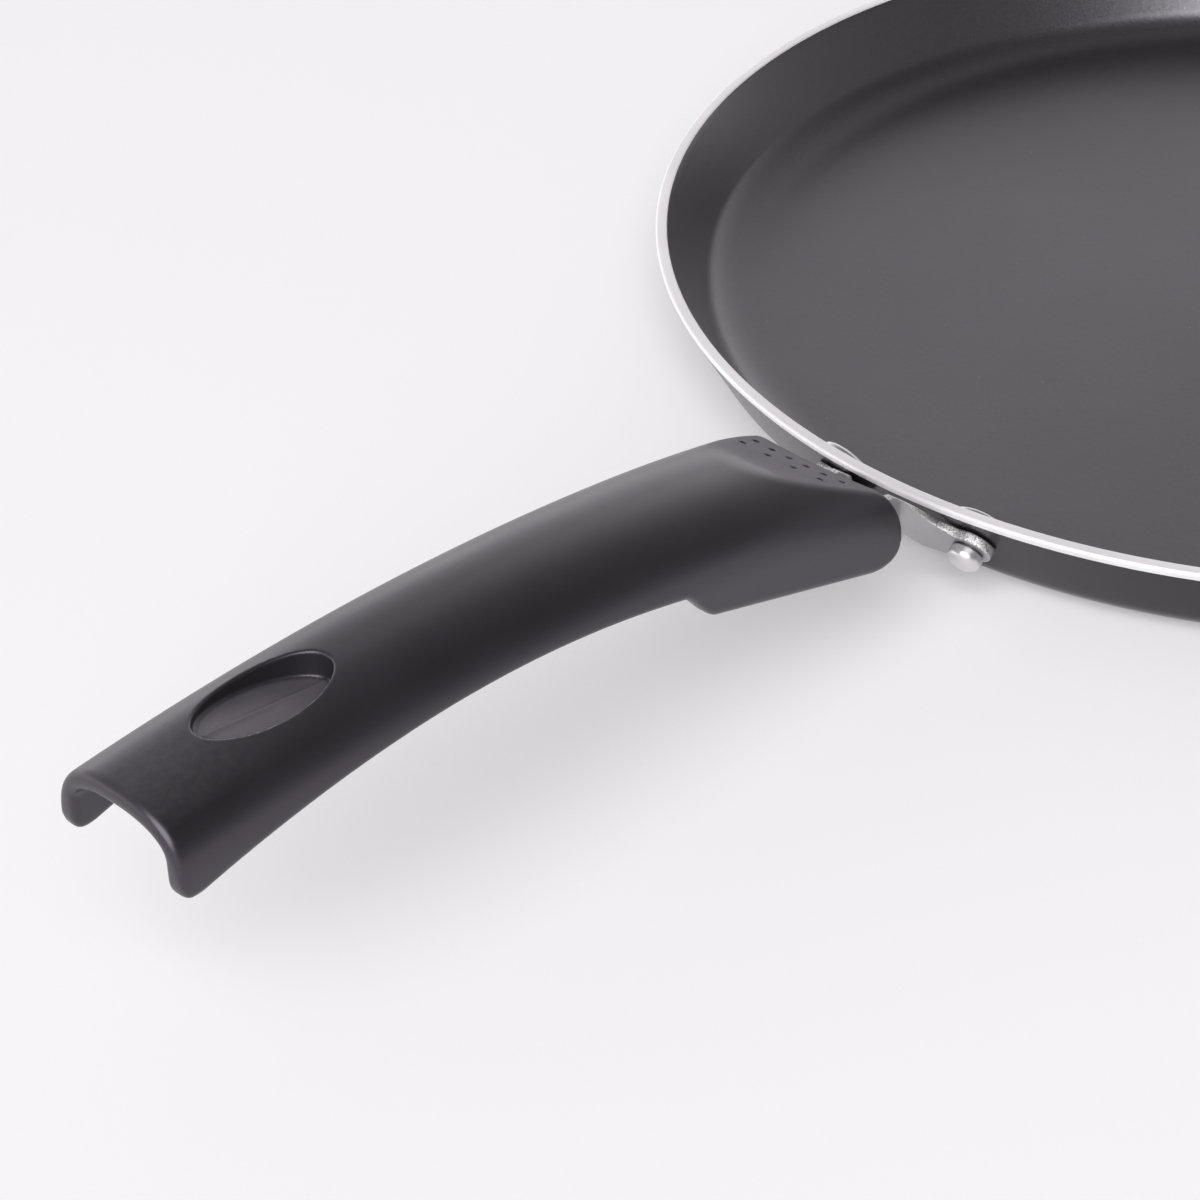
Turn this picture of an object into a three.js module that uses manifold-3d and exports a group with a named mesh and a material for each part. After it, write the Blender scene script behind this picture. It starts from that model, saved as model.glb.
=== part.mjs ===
// Dosa tawa: a shallow coated griddle pan with a riveted bracket and a moulded handle.
// Millimetres, +Z up. The origin is the centre of the pan's underside; the handle runs along +X.
import * as THREE from 'three';
import { mergeVertices } from 'three/addons/utils/BufferGeometryUtils.js';
import Module from 'manifold-3d';

// Clearances between neighbouring pieces
const FIT_GAP = 0.3;
const CUT_OVERRUN = 1;

// Pan: one pressed disc of sheet with a flared wall and a machined lip
const RIM_RADIUS = 140;
const PAN_HEIGHT = 21;
const SHEET = 2.4;
const WALL_FLARE_DEG = 29.5;
const BASE_BEND_RADIUS = 11;
const LIP_CHAMFER = 0.4;

// Rivets: a low head inside the pan, a domed head outside the bracket
const RIVET_DROP = 8.4;
const RIVET_HALF_ANGLE_DEG = 7.2;
const RIVET_SHANK_RADIUS = 2.2;
const INNER_HEAD_RADIUS = 6.6;
const INNER_HEAD_HEIGHT = 1.1;
const INNER_HEAD_EDGE = 0.7;
const OUTER_HEAD_RADIUS = 3.4;
const OUTER_HEAD_HEIGHT = 3.4;
const OUTER_HEAD_COLLAR = 1.4;

// Bracket: a channel pressed from strip, whose legs bend out into two ears on the pan's wall
const STRIP = 2;
const STRAP_HEIGHT = 7.6;
const EAR_HALF_HEIGHT = 3.5;
const EAR_END_REACH = 4.8;
const EAR_ROOT_DROP = 5.2;
const EAR_BEND_RADIUS = 5;
const CHANNEL_INNER_WIDTH = 11.4;
const STRAP_RISE_DEG = 40;
const TONGUE_SLOPE_DEG = 17;
const TONGUE_REACH = 44;
const TONGUE_CLEARANCE = 0.5;
const WEB_FROM_FRONT = 8;

// Handle, heights above the rim and distances beyond the rim or from the handle's front
const FRONT_GAP = 17;
const HANDLE_LENGTH = 169.6;
const FRONT_HALF_WIDTH = 17.5;
const END_HALF_WIDTH = 15.3;
const CROWN_PEAK_RISE = 37.6;
const CROWN_PEAK_REACH = 135;
const CROWN_ARC_RADIUS = 535;
const ARCH_RISE = 8.5;
const UNDERSIDE_PEAK_RISE = 27.2;
const UNDERSIDE_PEAK_REACH = 115;
const UNDERSIDE_ARC_RADIUS = 226;
const SKIRT_FRONT_DROP = 2.6;
const SKIRT_SLOPE_DEG = 17;
const SKIRT_LENGTH = 49;
const SKIRT_STEP_LENGTH = 8;
const NOSE_LENGTH = 8;
const NOSE_RISE = 4.8;
const FASCIA_RISE = 11.8;
const FASCIA_SLOPE_DEG = 33.5;
const FASCIA_REACH = 60;
const SHOULDER_RISE = 3.5;
const CROWN_WALL = 3.6;
const LEG_WALL = 4.4;
const FOOT_ROUND = 1.5;
const FOOT_END_LENGTH = 5;
const FOOT_END_LIFT = 2.6;
const END_ROUND = 1.5;
const ARCH_POWER = 2.2;

// Oval thumb recess near the handle's end
const RECESS_FROM_END = 32;
const RECESS_HALF_LENGTH = 14.5;
const RECESS_HALF_WIDTH = 7;
const RECESS_DEPTH = 3.3;
const RECESS_TILT_DEG = 8;
const RECESS_WALL = 2.4;

// Screw, spring washer and moulded-in bush that hold the handle on the bracket
const SCREW_FROM_FRONT = 24;
const SCREW_RADIUS = 2.4;
const SCREW_HEAD_RADIUS = 4.5;
const SCREW_HEAD_HEIGHT = 3;
const SCREW_SLOT_WIDTH = 1.2;
const SCREW_SLOT_DEPTH = 1.3;
const WASHER_RADIUS = 4.6;
const WASHER_THICKNESS = 1.2;
const WASHER_SPLIT = 1;
const BUSH_RADIUS = 4;
const BUSH_LENGTH = 8;
const BOSS_RADIUS = 5.4;
const RIB_THICKNESS = 2.4;
const RIB_SPACING = 18;

// Facet counts
const PAN_SEGMENTS = 120;
const ROUND_SEGMENTS = 24;
const ARC_STEPS = 3;
const OUTER_ARCH_POINTS = 18;
const INNER_ARCH_POINTS = 12;
const LEG_ROUND_POINTS = 4;
const BEND_STEPS = 5;
const NOSE_STEPS = 5;
const SKIRT_STEPS = 8;
const STEP_STEPS = 6;
const GRIP_STEPS = 18;
const FOOT_STEPS = 3;

// Sizes worked out from the driving dimensions
const rad = THREE.MathUtils.degToRad;
const flare = rad(WALL_FLARE_DEG);
const wallRadius = (z) => RIM_RADIUS - (PAN_HEIGHT - z) * Math.tan(flare);
const wallRun = SHEET / Math.cos(flare);
const bendTangent = BASE_BEND_RADIUS * Math.tan((Math.PI / 2 - flare) / 2);
const baseRadius = wallRadius(0) - bendTangent;
const rivetZ = PAN_HEIGHT - RIVET_DROP;
const frontRadius = RIM_RADIUS + FRONT_GAP;
const handleEnd = frontRadius + HANDLE_LENGTH;
const endRound = Math.min(END_ROUND, CROWN_WALL / 2 - FIT_GAP, LEG_WALL / 2 - FIT_GAP);
const tongueSlope = rad(TONGUE_SLOPE_DEG);
const webHeight = STRIP / Math.cos(tongueSlope);
const legInner = CHANNEL_INNER_WIDTH / 2;
const legOuter = legInner + STRIP;

const wasm = await Module();
wasm.setup();

function finish(color, roughness, metalness) {
  return new THREE.MeshStandardMaterial({ color, roughness, metalness });
}

const coatedSheet = finish(0x4b494d, 0.55, 0.2);
const bareAluminium = finish(0xd6d4d6, 0.35, 1);
const blackMoulding = finish(0x2b2a2d, 0.5, 0);
const platedSteel = finish(0x9c9ca0, 0.3, 1);
const brass = finish(0xb5933f, 0.35, 1);

// A closed geometry as a solid that can be joined and cut
function solid(geometry) {
  const bare = geometry.clone();
  bare.deleteAttribute('normal');
  bare.deleteAttribute('uv');
  const welded = mergeVertices(bare);
  const corners = welded.index.array;
  const kept = [];
  for (let i = 0; i < corners.length; i += 3) {
    const [a, b, c] = corners.slice(i, i + 3);
    if (a !== b && b !== c && c !== a) {
      kept.push(a, b, c);
    }
  }
  return new wasm.Manifold(new wasm.Mesh({
    numProp: 3,
    vertProperties: new Float32Array(welded.attributes.position.array),
    triVerts: new Uint32Array(kept),
  }));
}

function meshOf(name, body, material) {
  const { vertProperties, triVerts } = body.getMesh();
  const geometry = new THREE.BufferGeometry();
  geometry.setAttribute('position', new THREE.BufferAttribute(vertProperties, 3));
  geometry.setIndex(new THREE.BufferAttribute(triVerts, 1));
  geometry.computeVertexNormals();
  const mesh = new THREE.Mesh(geometry, material);
  mesh.name = name;
  return mesh;
}

// A profile of (radius, height) points turned about Z
function turned(points, segments) {
  return new THREE.LatheGeometry(points, segments).rotateX(Math.PI / 2);
}

// A round bar along Z from one height to another
function roundBar(radius, bottom, top) {
  const bar = new THREE.CylinderGeometry(radius, radius, top - bottom, ROUND_SEGMENTS);
  return bar.rotateX(Math.PI / 2).translate(0, 0, (bottom + top) / 2);
}

// An outline of (x, z) points extruded across the handle from one y to another
function sidePlate(outline, fromY, toY) {
  const options = { depth: toY - fromY, bevelEnabled: false };
  const plate = new THREE.ExtrudeGeometry(new THREE.Shape(outline), options);
  return plate.rotateX(Math.PI / 2).translate(0, toY, 0);
}

// Triangles that fill a flat ring, in the ring's own turning sense
function fill(ring) {
  const normal = new THREE.Vector3();
  ring.forEach((point, i) => {
    normal.add(point.clone().cross(ring[(i + 1) % ring.length]));
  });
  const turn = new THREE.Quaternion().setFromUnitVectors(normal.normalize(), new THREE.Vector3(0, 0, 1));
  const flat = ring.map((point) => point.clone().applyQuaternion(turn));
  return THREE.ShapeUtils.triangulateShape(flat.map((p) => new THREE.Vector2(p.x, p.y)), []);
}

// Rings of equally many points joined into a closed skin; each ring turns about the way they follow on
function loft(rings) {
  const count = rings[0].length;
  const last = (rings.length - 1) * count;
  const index = [];
  for (let first = 0; first < last; first += count) {
    for (let j = 0; j < count; j += 1) {
      const a = first + j;
      const b = first + ((j + 1) % count);
      index.push(a, b, a + count, b, b + count, a + count);
    }
  }
  for (const [a, b, c] of fill(rings[0])) {
    index.push(a, c, b);
  }
  for (const [a, b, c] of fill(rings.at(-1))) {
    index.push(last + a, last + b, last + c);
  }
  const geometry = new THREE.BufferGeometry().setFromPoints(rings.flat());
  geometry.setIndex(index);
  return geometry;
}

// Evenly spaced values, both ends included
function steps(from, to, count) {
  return Array.from({ length: count + 1 }, (_, i) => THREE.MathUtils.lerp(from, to, i / count));
}

// The frame of a rivet: its origin on the wall's outer face, +Z square to the wall and out of the pan
function rivetFrame(side) {
  const frame = new THREE.Group();
  const angle = side * rad(RIVET_HALF_ANGLE_DEG);
  const reach = wallRadius(rivetZ);
  frame.position.set(reach * Math.cos(angle), reach * Math.sin(angle), rivetZ);
  frame.rotation.set(0, Math.PI / 2 + flare, angle, 'ZYX');
  frame.updateMatrix();
  return frame;
}

function rivetHole(side) {
  const reach = SHEET + STRIP + CUT_OVERRUN;
  const bore = roundBar(RIVET_SHANK_RADIUS + FIT_GAP, -reach, reach);
  return solid(bore.applyMatrix4(rivetFrame(side).matrix));
}

function panBody() {
  const innerBend = BASE_BEND_RADIUS - SHEET;
  const profile = new THREE.Path();
  profile.moveTo(0, 0);
  profile.lineTo(baseRadius, 0);
  profile.absarc(baseRadius, BASE_BEND_RADIUS, BASE_BEND_RADIUS, -Math.PI / 2, -flare, false);
  profile.lineTo(wallRadius(PAN_HEIGHT - LIP_CHAMFER), PAN_HEIGHT - LIP_CHAMFER);
  profile.lineTo(RIM_RADIUS - LIP_CHAMFER, PAN_HEIGHT);
  profile.lineTo(RIM_RADIUS - wallRun + LIP_CHAMFER, PAN_HEIGHT);
  profile.lineTo(wallRadius(PAN_HEIGHT - LIP_CHAMFER) - wallRun, PAN_HEIGHT - LIP_CHAMFER);
  profile.absarc(baseRadius, BASE_BEND_RADIUS, innerBend, -flare, -Math.PI / 2, true);
  profile.lineTo(0, SHEET);
  const dish = solid(turned(profile.getPoints(ARC_STEPS), PAN_SEGMENTS));
  return dish.subtract(rivetHole(1)).subtract(rivetHole(-1));
}

function rivet() {
  const headTop = -SHEET - FIT_GAP;
  const headBottom = headTop - INNER_HEAD_HEIGHT;
  const outerSeat = STRIP + 2 * FIT_GAP;
  const collarTop = outerSeat + OUTER_HEAD_COLLAR;
  const domeHeight = OUTER_HEAD_HEIGHT - OUTER_HEAD_COLLAR;
  const profile = new THREE.Path();
  profile.moveTo(0, headBottom);
  profile.lineTo(INNER_HEAD_RADIUS - INNER_HEAD_EDGE, headBottom);
  profile.absarc(INNER_HEAD_RADIUS - INNER_HEAD_EDGE, headBottom + INNER_HEAD_EDGE, INNER_HEAD_EDGE,
    -Math.PI / 2, 0, false);
  profile.lineTo(INNER_HEAD_RADIUS, headTop);
  profile.lineTo(RIVET_SHANK_RADIUS, headTop);
  profile.lineTo(RIVET_SHANK_RADIUS, outerSeat);
  profile.lineTo(OUTER_HEAD_RADIUS, outerSeat);
  profile.absellipse(0, collarTop, OUTER_HEAD_RADIUS, domeHeight, 0, Math.PI / 2, false, 0);
  return solid(turned(profile.getPoints(ARC_STEPS), ROUND_SEGMENTS));
}

// The strap's middle line seen from above: along the wall, round the bend and into the handle
const wallMid = wallRadius(rivetZ) + (FIT_GAP + STRIP / 2) / Math.cos(flare);
const legMid = legInner + STRIP / 2;
const bendCentre = new THREE.Vector2(0, legMid + EAR_BEND_RADIUS);
bendCentre.x = Math.sqrt((wallMid + EAR_BEND_RADIUS) ** 2 - bendCentre.y ** 2);
const earRoot = bendCentre.clone().setLength(wallMid);

// Lower edge of the strap beyond the ear: steep up to the handle, then along inside it
const tongueFront = ceilingHeight(frontRadius, legOuter) - TONGUE_CLEARANCE - STRAP_HEIGHT;
const tongueLow = (x) => tongueFront + (x - frontRadius) * Math.tan(tongueSlope);
const earRootLow = PAN_HEIGHT - EAR_ROOT_DROP - STRAP_HEIGHT;
const riseLow = (x) => earRootLow + (x - earRoot.x) * Math.tan(rad(STRAP_RISE_DEG));
const strapLow = (x) => Math.min(riseLow(x), tongueLow(x));
const kneeSlope = Math.tan(rad(STRAP_RISE_DEG)) - Math.tan(tongueSlope);
const kneeX = earRoot.x + (tongueLow(earRoot.x) - earRootLow) / kneeSlope;
const tongueEnd = frontRadius + TONGUE_REACH;

// The strap's four corners where its middle line passes a plan point, leaning out with the wall
function strapRing({ plan, out, lean, low, high }) {
  const face = new THREE.Vector3(out.x * Math.cos(lean), out.y * Math.cos(lean), -Math.sin(lean));
  const corner = (z, half) => {
    const shift = (z - rivetZ) * Math.tan(lean);
    const middle = new THREE.Vector3(plan.x + out.x * shift, plan.y + out.y * shift, z);
    return middle.addScaledVector(face, half);
  };
  return [
    corner(low, STRIP / 2),
    corner(high, STRIP / 2),
    corner(high, -STRIP / 2),
    corner(low, -STRIP / 2),
  ];
}

// The ear from its rounded end to the bend
function earStations() {
  const rivetAngle = rad(RIVET_HALF_ANGLE_DEG);
  const rootAngle = earRoot.angle();
  const at = (angle, low, high) => {
    const out = new THREE.Vector2(Math.cos(angle), Math.sin(angle));
    return { plan: out.clone().multiplyScalar(wallMid), out, lean: flare, low, high };
  };
  const round = steps(Math.PI / 2, 0, ROUND_SEGMENTS / 4).slice(1).map((turn) => {
    const half = EAR_HALF_HEIGHT * Math.cos(turn);
    return at(rivetAngle + (EAR_END_REACH * Math.sin(turn)) / wallMid, rivetZ - half, rivetZ + half);
  });
  const straight = steps(0, 1, BEND_STEPS).slice(1).map((t) => at(
    THREE.MathUtils.lerp(rivetAngle, rootAngle, t),
    THREE.MathUtils.lerp(rivetZ - EAR_HALF_HEIGHT, earRootLow, t),
    THREE.MathUtils.lerp(rivetZ + EAR_HALF_HEIGHT, earRootLow + STRAP_HEIGHT, t),
  ));
  return [...round, ...straight];
}

// The bend, where the strap turns upright, and the leg inside the handle
function legStations() {
  const at = (plan, out, lean) => {
    const low = strapLow(plan.x);
    return { plan, out, lean, low, high: low + STRAP_HEIGHT };
  };
  const bend = steps(0, 1, BEND_STEPS).slice(1).map((t) => {
    const turn = THREE.MathUtils.lerp(bendCentre.angle(), Math.PI / 2, t);
    const out = new THREE.Vector2(Math.cos(turn), Math.sin(turn));
    const plan = bendCentre.clone().addScaledVector(out, -EAR_BEND_RADIUS);
    return at(plan, out, THREE.MathUtils.lerp(flare, 0, t));
  });
  const leg = [kneeX, tongueEnd].map((x) => at(new THREE.Vector2(x, legMid), new THREE.Vector2(0, 1), 0));
  return [...bend, ...leg];
}

function strap(side) {
  const rings = [...earStations(), ...legStations()].map(strapRing);
  const placed = rings.map((ring) => ring.map((p) => new THREE.Vector3(p.x, side * p.y, p.z)));
  return solid(loft(side > 0 ? placed : placed.map((ring) => ring.reverse())));
}

function handleBracket() {
  const webStart = frontRadius + WEB_FROM_FRONT;
  const web = [
    new THREE.Vector2(webStart, tongueLow(webStart)),
    new THREE.Vector2(tongueEnd, tongueLow(tongueEnd)),
    new THREE.Vector2(tongueEnd, tongueLow(tongueEnd) + webHeight),
    new THREE.Vector2(webStart, tongueLow(webStart) + webHeight),
  ];
  const pressed = strap(1).add(strap(-1)).add(solid(sidePlate(web, -legOuter, legOuter)));
  const screwHole = roundBar(SCREW_RADIUS + FIT_GAP, -STRIP - CUT_OVERRUN, CUT_OVERRUN);
  return pressed
    .subtract(rivetHole(1))
    .subtract(rivetHole(-1))
    .subtract(solid(screwHole.applyMatrix4(screwFrame().matrix)));
}

// The frame of the screw: its origin on the top of the bracket's web, +Z square to the web
function screwFrame() {
  const reach = frontRadius + SCREW_FROM_FRONT;
  const frame = new THREE.Group();
  frame.position.set(reach, 0, tongueLow(reach) + webHeight);
  frame.rotation.y = -tongueSlope;
  frame.updateMatrix();
  return frame;
}

// Height of a long shallow arch at x, from its peak and its radius
function archHeight(x, peakRise, peakReach, radius) {
  const away = x - frontRadius - peakReach;
  return PAN_HEIGHT + peakRise - radius + Math.sqrt(radius * radius - away * away);
}

function crownHeight(x) {
  return archHeight(x, CROWN_PEAK_RISE, CROWN_PEAK_REACH, CROWN_ARC_RADIUS);
}

// Height of the sloping band above the handle's front face
function fasciaHeight(x) {
  return PAN_HEIGHT + FASCIA_RISE + (x - frontRadius) * Math.tan(rad(FASCIA_SLOPE_DEG));
}

// Lower edge of the handle: a rounded nose, a sloping skirt, a step and the arched grip
function undersideHeight(x) {
  const skirtFloor = PAN_HEIGHT - SKIRT_FRONT_DROP + (x - frontRadius) * Math.tan(rad(SKIRT_SLOPE_DEG));
  const intoNose = THREE.MathUtils.clamp((frontRadius + NOSE_LENGTH - x) / NOSE_LENGTH, 0, 1);
  const skirt = skirtFloor + NOSE_RISE * (1 - Math.sqrt(1 - intoNose * intoNose));
  const stepStart = frontRadius + SKIRT_LENGTH;
  const blend = THREE.MathUtils.smoothstep(x, stepStart, stepStart + SKIRT_STEP_LENGTH);
  const grip = archHeight(x, UNDERSIDE_PEAK_RISE, UNDERSIDE_PEAK_REACH, UNDERSIDE_ARC_RADIUS);
  return THREE.MathUtils.lerp(skirt, grip, blend);
}

// One side-to-side arch of the handle's section, from +y over the top to -y
function archPoints(halfWidth, springing, top, count) {
  return steps(0, Math.PI, count).map((angle) => {
    const c = Math.cos(angle);
    const s = Math.sin(angle);
    return new THREE.Vector2(
      halfWidth * Math.sign(c) * Math.abs(c) ** (2 / ARCH_POWER),
      springing + (top - springing) * s ** (2 / ARCH_POWER),
    );
  });
}

// How much the rounding of the handle's end takes off every side at x
function endTuck(x) {
  const into = THREE.MathUtils.clamp((x - (handleEnd - endRound)) / endRound, 0, 1);
  return endRound * (1 - Math.sqrt(1 - into * into));
}

// How much the legs lift off towards the handle's end at x
function footLift(x) {
  const into = THREE.MathUtils.clamp((x - (handleEnd - FOOT_END_LENGTH)) / FOOT_END_LENGTH, 0, 1);
  return FOOT_END_LIFT * (1 - Math.sqrt(1 - into * into));
}

// The handle's section at x: the outer arch, the hollow's arch and the level where the legs turn round
function section(x) {
  const tuck = endTuck(x);
  const along = (x - frontRadius) / HANDLE_LENGTH;
  const halfWidth = THREE.MathUtils.lerp(FRONT_HALF_WIDTH, END_HALF_WIDTH, along) - tuck;
  const wall = LEG_WALL - 2 * tuck;
  const footTop = undersideHeight(x) + footLift(x) + FOOT_ROUND;
  const innerTop = Math.min(crownHeight(x), fasciaHeight(x)) - CROWN_WALL + tuck;
  const outerTop = Math.min(crownHeight(x), fasciaHeight(x) + SHOULDER_RISE);
  const level = (top, wanted) => ({ top, springing: Math.max(footTop + FIT_GAP, wanted) });
  return {
    halfWidth,
    wall,
    footTop,
    outer: level(outerTop - tuck, outerTop - ARCH_RISE),
    inner: level(innerTop, innerTop - ARCH_RISE + CROWN_WALL),
  };
}

// Height of the hollow's ceiling at x, this far from the handle's middle
function ceilingHeight(x, y) {
  const { halfWidth, wall, inner } = section(x);
  const share = 1 - (y / (halfWidth - wall)) ** ARCH_POWER;
  return inner.springing + (inner.top - inner.springing) * share ** (1 / ARCH_POWER);
}

// The section as one ring: over the outer arch, round one leg, back under the arch, round the other leg
function handleRing(x) {
  const { halfWidth, wall, footTop, outer, inner } = section(x);
  const over = archPoints(halfWidth, outer.springing, outer.top, OUTER_ARCH_POINTS);
  const under = archPoints(halfWidth - wall, inner.springing, inner.top, INNER_ARCH_POINTS);
  const foot = steps(Math.PI, 2 * Math.PI, LEG_ROUND_POINTS).map((angle) => new THREE.Vector2(
    (wall / 2) * Math.cos(angle),
    footTop + FOOT_ROUND * Math.sin(angle),
  ));
  const footAt = (y) => foot.map((p) => new THREE.Vector2(y + p.x, p.y));
  const ring = [
    ...over,
    ...footAt(-halfWidth + wall / 2),
    ...under.reverse(),
    ...footAt(halfWidth - wall / 2),
  ];
  return ring.map((p) => new THREE.Vector3(x, p.x, p.y));
}

function handleShell() {
  const start = Math.sqrt(frontRadius ** 2 - FRONT_HALF_WIDTH ** 2) - CUT_OVERRUN;
  const noseEnd = frontRadius + NOSE_LENGTH;
  const stepStart = frontRadius + SKIRT_LENGTH;
  const stepEnd = stepStart + SKIRT_STEP_LENGTH;
  const footStart = handleEnd - FOOT_END_LENGTH;
  const roundStart = handleEnd - endRound;
  const stations = [
    start,
    ...steps(frontRadius, noseEnd, NOSE_STEPS),
    ...steps(noseEnd, stepStart, SKIRT_STEPS).slice(1),
    ...steps(stepStart, stepEnd, STEP_STEPS).slice(1),
    ...steps(stepEnd, footStart, GRIP_STEPS).slice(1),
    ...steps(footStart, roundStart, FOOT_STEPS).slice(1),
    ...steps(0, Math.PI / 2, ARC_STEPS).slice(1).map((turn) => roundStart + endRound * Math.sin(turn)),
  ];
  return solid(loft(stations.map(handleRing)));
}

// What the pan's rim keeps clear of the handle: a round front face and the sloping band above it
function frontCutter() {
  const top = PAN_HEIGHT + FASCIA_RISE + FASCIA_REACH * Math.tan(rad(FASCIA_SLOPE_DEG));
  const profile = [
    [0, -PAN_HEIGHT],
    [frontRadius, -PAN_HEIGHT],
    [frontRadius, PAN_HEIGHT + FASCIA_RISE],
    [frontRadius + FASCIA_REACH, top],
    [0, top],
  ];
  return solid(turned(profile.map(([r, z]) => new THREE.Vector2(r, z)), 2 * PAN_SEGMENTS));
}

// An oval block as wide as the recess, grown by this much all round, standing on z = 0
function recessBlock(grow, height) {
  const oval = new THREE.Shape();
  oval.absellipse(0, 0, RECESS_HALF_LENGTH + grow, RECESS_HALF_WIDTH + grow, 0, 2 * Math.PI, false, 0);
  const options = { depth: height, bevelEnabled: false, curveSegments: ROUND_SEGMENTS / 2 };
  return new THREE.ExtrudeGeometry(oval, options);
}

// The recess's sloping cut, and the pad that closes it below
function recess() {
  const centre = handleEnd - RECESS_FROM_END;
  const floor = crownHeight(centre) - RECESS_DEPTH;
  const tilt = rad(RECESS_TILT_DEG);
  const padDepth = RECESS_DEPTH + RECESS_HALF_LENGTH * Math.tan(tilt) + RECESS_WALL;
  const padBottom = crownHeight(centre) - padDepth;
  const pad = recessBlock(RECESS_WALL, padDepth - CROWN_WALL / 2).translate(centre, 0, padBottom);
  const cut = recessBlock(0, CROWN_PEAK_RISE).rotateY(-tilt).translate(centre, 0, floor);
  return { pad: solid(pad), cut: solid(cut) };
}

// Ribs on the inside of the skirt that hold the bracket's legs from both sides
function skirtRib(x, side) {
  const outerY = FRONT_HALF_WIDTH - LEG_WALL / 2;
  const innerY = legOuter + FIT_GAP;
  const bottom = tongueLow(x) + STRAP_HEIGHT / 2;
  const top = crownHeight(x) - ARCH_RISE;
  const rib = new THREE.BoxGeometry(RIB_THICKNESS, outerY - innerY, top - bottom);
  return solid(rib.translate(x, (side * (outerY + innerY)) / 2, (top + bottom) / 2));
}

function handle() {
  const { pad, cut } = recess();
  const seat = screwFrame();
  const bossTop = crownHeight(seat.position.x) - seat.position.z - CROWN_WALL / 2;
  const boss = roundBar(BOSS_RADIUS, FIT_GAP, bossTop);
  const bushBore = roundBar(BUSH_RADIUS + FIT_GAP, -CUT_OVERRUN, BUSH_LENGTH + 2 * FIT_GAP);
  let body = handleShell().add(pad).add(solid(boss.applyMatrix4(seat.matrix)));
  for (const side of [-1, 1]) {
    for (const fore of [-1, 1]) {
      body = body.add(skirtRib(seat.position.x + (fore * RIB_SPACING) / 2, side));
    }
  }
  return body
    .subtract(frontCutter())
    .subtract(cut)
    .subtract(solid(bushBore.applyMatrix4(seat.matrix)));
}

function threadedBush() {
  const bush = solid(roundBar(BUSH_RADIUS, FIT_GAP, FIT_GAP + BUSH_LENGTH));
  const bore = roundBar(SCREW_RADIUS + FIT_GAP, -CUT_OVERRUN, BUSH_LENGTH + CUT_OVERRUN);
  return bush.subtract(solid(bore));
}

function springWasher() {
  const top = -STRIP - FIT_GAP;
  const disc = solid(roundBar(WASHER_RADIUS, top - WASHER_THICKNESS, top));
  const bore = roundBar(SCREW_RADIUS + FIT_GAP, top - 2 * WASHER_THICKNESS, top + CUT_OVERRUN);
  const split = new THREE.BoxGeometry(WASHER_RADIUS + CUT_OVERRUN, WASHER_SPLIT, 3 * WASHER_THICKNESS);
  split.translate((WASHER_RADIUS + CUT_OVERRUN) / 2, 0, top);
  return disc.subtract(solid(bore)).subtract(solid(split));
}

function handleScrew() {
  const headTop = -STRIP - WASHER_THICKNESS - 2 * FIT_GAP;
  const headBottom = headTop - SCREW_HEAD_HEIGHT;
  const profile = new THREE.Path();
  profile.moveTo(0, headBottom);
  profile.absellipse(0, headTop, SCREW_HEAD_RADIUS, SCREW_HEAD_HEIGHT, -Math.PI / 2, 0, false, 0);
  profile.lineTo(SCREW_RADIUS, headTop);
  profile.lineTo(SCREW_RADIUS, BUSH_LENGTH);
  profile.lineTo(0, BUSH_LENGTH);
  const blank = solid(turned(profile.getPoints(ARC_STEPS), ROUND_SEGMENTS));
  const slotLength = 2 * SCREW_HEAD_RADIUS + CUT_OVERRUN;
  const slot = new THREE.BoxGeometry(slotLength, SCREW_SLOT_WIDTH, 2 * SCREW_SLOT_DEPTH);
  return blank.subtract(solid(slot.translate(0, 0, headBottom)));
}

const tawa = new THREE.Group();
tawa.add(meshOf('pan_body', panBody(), coatedSheet));
tawa.add(meshOf('handle_bracket', handleBracket(), bareAluminium));
for (const [name, side] of [['rivet_left', -1], ['rivet_right', 1]]) {
  const frame = rivetFrame(side);
  frame.add(meshOf(name, rivet(), bareAluminium));
  tawa.add(frame);
}
tawa.add(meshOf('handle', handle(), blackMoulding));
const fastening = screwFrame();
fastening.add(meshOf('threaded_bush', threadedBush(), brass));
fastening.add(meshOf('spring_washer', springWasher(), platedSteel));
fastening.add(meshOf('handle_screw', handleScrew(), platedSteel));
tawa.add(fastening);

export default tawa;
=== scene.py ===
"""Looks of a dosa tawa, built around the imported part. Sizes are in millimetres, meshes in metres."""
import math

import bpy
import numpy as np
from mathutils import Matrix, Vector

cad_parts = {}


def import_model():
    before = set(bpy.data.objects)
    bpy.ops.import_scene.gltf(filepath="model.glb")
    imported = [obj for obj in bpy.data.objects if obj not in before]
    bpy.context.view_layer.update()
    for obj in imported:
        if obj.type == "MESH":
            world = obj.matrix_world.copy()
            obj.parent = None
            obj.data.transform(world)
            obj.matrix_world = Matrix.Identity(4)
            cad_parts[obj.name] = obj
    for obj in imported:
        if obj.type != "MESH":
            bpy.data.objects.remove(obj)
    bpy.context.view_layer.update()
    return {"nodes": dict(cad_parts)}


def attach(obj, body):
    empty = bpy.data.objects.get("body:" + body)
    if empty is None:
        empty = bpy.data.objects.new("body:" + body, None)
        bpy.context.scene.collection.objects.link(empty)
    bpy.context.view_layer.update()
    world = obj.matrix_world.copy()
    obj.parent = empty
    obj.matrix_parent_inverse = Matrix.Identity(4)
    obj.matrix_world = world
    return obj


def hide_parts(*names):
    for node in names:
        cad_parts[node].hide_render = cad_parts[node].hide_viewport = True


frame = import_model()
nodes = frame["nodes"]

MM = 0.001
FIT_GAP = 0.3
HOLE_OVERRUN = 1.0
SHARP_ANGLE = 40

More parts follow.
